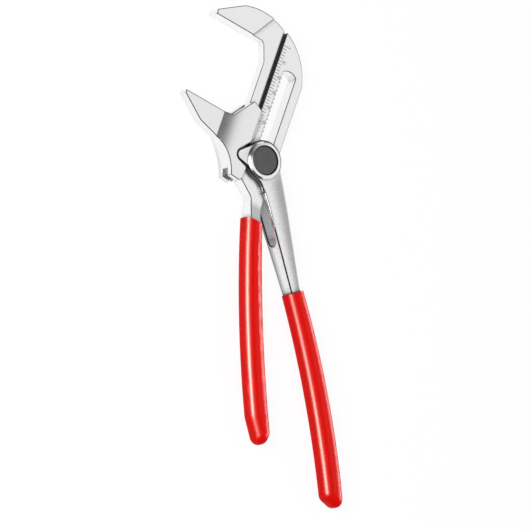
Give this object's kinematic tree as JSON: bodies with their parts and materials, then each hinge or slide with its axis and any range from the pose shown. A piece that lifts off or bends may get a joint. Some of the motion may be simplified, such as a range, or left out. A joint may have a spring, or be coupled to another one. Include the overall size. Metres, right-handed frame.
{
  "type": "adjustable pliers",
  "caption": "Slip-joint pliers with parallel jaws: a jaw that slides along a toothed shank, a push-button joint and red dipped grips.",
  "frame": {"origin": "on the joint bolt's axis, at the bottom of its tail, where the tool rests lying on its back", "axes": "+Y from the handles towards the upper jaw, along the jaw's travel; -X from the bolt towards the jaw tips; +Z out of the button's side"},
  "size_m": [0.19, 0.2541, 0.015],
  "materials": {
    "satin_chrome": "satin",
    "polished_chrome": "polished",
    "bright_steel": "machined",
    "spring_steel": "drawn wire",
    "black_cap": "matt black",
    "red_dip": "glossy dipped"
  },
  "bodies": {
    "fixed_jaw": {"jaw_handle": "satin_chrome", "left_grip": "red_dip"},
    "carriage": {"joint_bolt": "bright_steel", "boss_ring": "polished_chrome", "rear_nut": "bright_steel", "return_spring": "spring_steel"},
    "button": {"lock_pin": "bright_steel", "button_cap": "black_cap"},
    "lever": {"lever_handle": "satin_chrome", "right_grip": "red_dip"},
    "moving_jaw": {"sliding_jaw": "satin_chrome"}
  },
  "joints": [
    {"name": "adjust_slide", "type": "slide", "parent": "fixed_jaw", "child": "carriage", "axis": [0, 1, 0], "range_m": [0, 0.0495]},
    {"name": "button_press", "type": "slide", "parent": "carriage", "child": "button", "axis": [0, 0, -1], "range_m": [0, 0.002], "stiffness_N_per_m": 500, "springref_m": -0.002, "deforming": ["return_spring"]},
    {"name": "handle_squeeze", "type": "hinge", "parent": "carriage", "child": "lever", "pos_m": [0, 0, 0], "axis": [0, 0, 1], "range_deg": [-7, 6]},
    {"name": "jaw_feed", "type": "slide", "parent": "carriage", "child": "moving_jaw", "axis": [0, 1, 0], "range_m": [-0.00165, 0.0019]}
  ],
  "couplings": [
    {"joint": "jaw_feed", "follows": "handle_squeeze", "m_per_rad": -0.015224}
  ]
}
